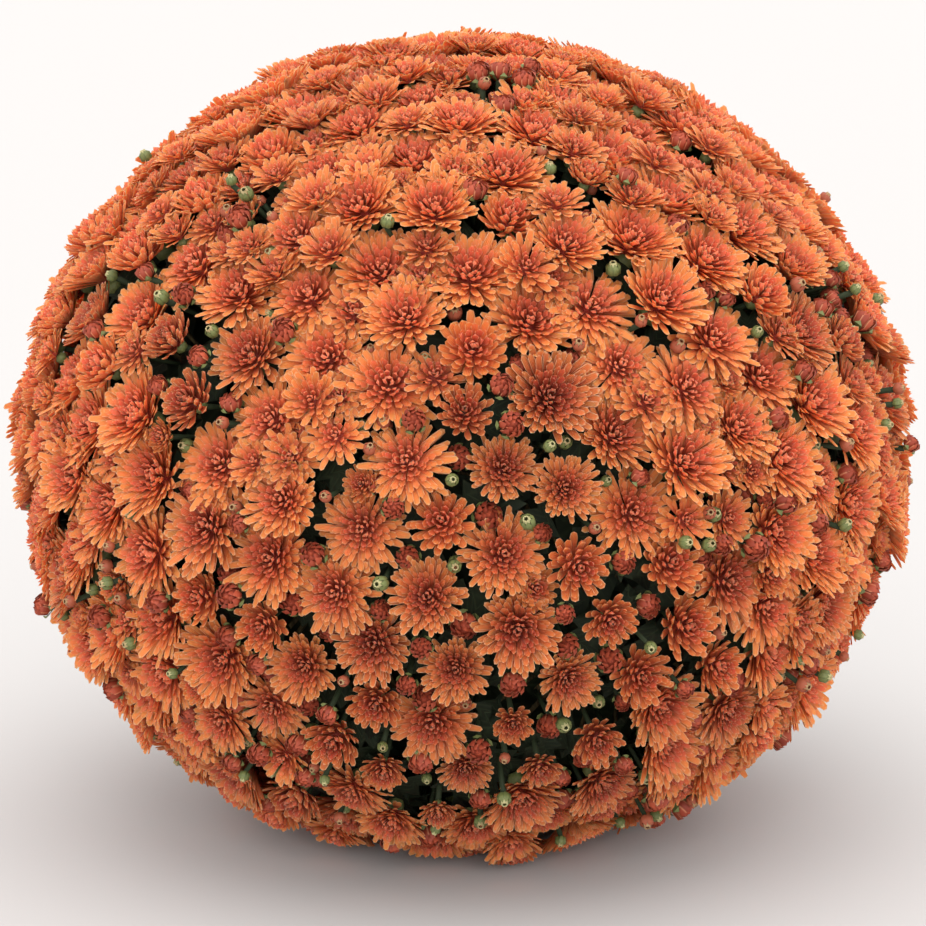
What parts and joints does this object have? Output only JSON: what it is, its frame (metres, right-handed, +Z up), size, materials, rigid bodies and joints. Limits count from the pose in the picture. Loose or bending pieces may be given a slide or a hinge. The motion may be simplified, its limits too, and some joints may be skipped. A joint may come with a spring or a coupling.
{
  "type": "cushion chrysanthemum plant in bloom",
  "caption": "Ball-shaped cushion chrysanthemum in full bloom, cut at its base: sprays of domed orange blooms, buds and dark lobed leaves on branches from one woody stem.",
  "frame": {"origin": "middle of the stem's cut end, in the plane that the plant rests on", "axes": "+Z up along the stem, +Y away from a viewer who sees the side in the picture, +X to that viewer's right"},
  "size_m": [0.4911, 0.4894, 0.4407],
  "materials": {
    "petals": "matte, soft; orange with paler rims and coppery centres",
    "foliage": "matte, slightly downy dark green",
    "stem": "rough brown bark"
  },
  "bodies": {
    "root": {"bloom_spray_01": "petals", "bloom_spray_02": "petals", "bloom_spray_03": "petals", "bloom_spray_04": "petals", "bloom_spray_05": "petals", "bloom_spray_06": "petals", "bloom_spray_07": "petals", "bloom_spray_08": "petals", "bloom_spray_09": "petals", "bloom_spray_10": "petals", "bloom_spray_11": "petals", "bloom_spray_12": "petals", "bloom_spray_13": "petals", "bloom_spray_14": "petals", "bloom_spray_15": "petals", "bloom_spray_16": "petals", "bloom_spray_17": "petals", "bloom_spray_18": "petals", "bloom_spray_19": "petals", "bloom_spray_20": "petals", "bloom_spray_21": "petals", "bloom_spray_22": "petals", "bloom_spray_23": "petals", "bloom_spray_24": "petals", "bloom_spray_25": "petals", "bloom_spray_26": "petals", "leafy_branch_01": "foliage", "leafy_branch_02": "foliage", "leafy_branch_03": "foliage", "leafy_branch_04": "foliage", "leafy_branch_05": "foliage", "leafy_branch_06": "foliage", "leafy_branch_07": "foliage", "leafy_branch_08": "foliage", "leafy_branch_09": "foliage", "leafy_branch_10": "foliage", "leafy_branch_11": "foliage", "leafy_branch_12": "foliage", "leafy_branch_13": "foliage", "leafy_branch_14": "foliage", "leafy_branch_15": "foliage", "leafy_branch_16": "foliage", "leafy_branch_17": "foliage", "leafy_branch_18": "foliage", "leafy_branch_19": "foliage", "leafy_branch_20": "foliage", "leafy_branch_21": "foliage", "leafy_branch_22": "foliage", "leafy_branch_23": "foliage", "leafy_branch_24": "foliage", "leafy_branch_25": "foliage", "leafy_branch_26": "foliage", "woody_stem": "stem"}
  },
  "joints": []
}
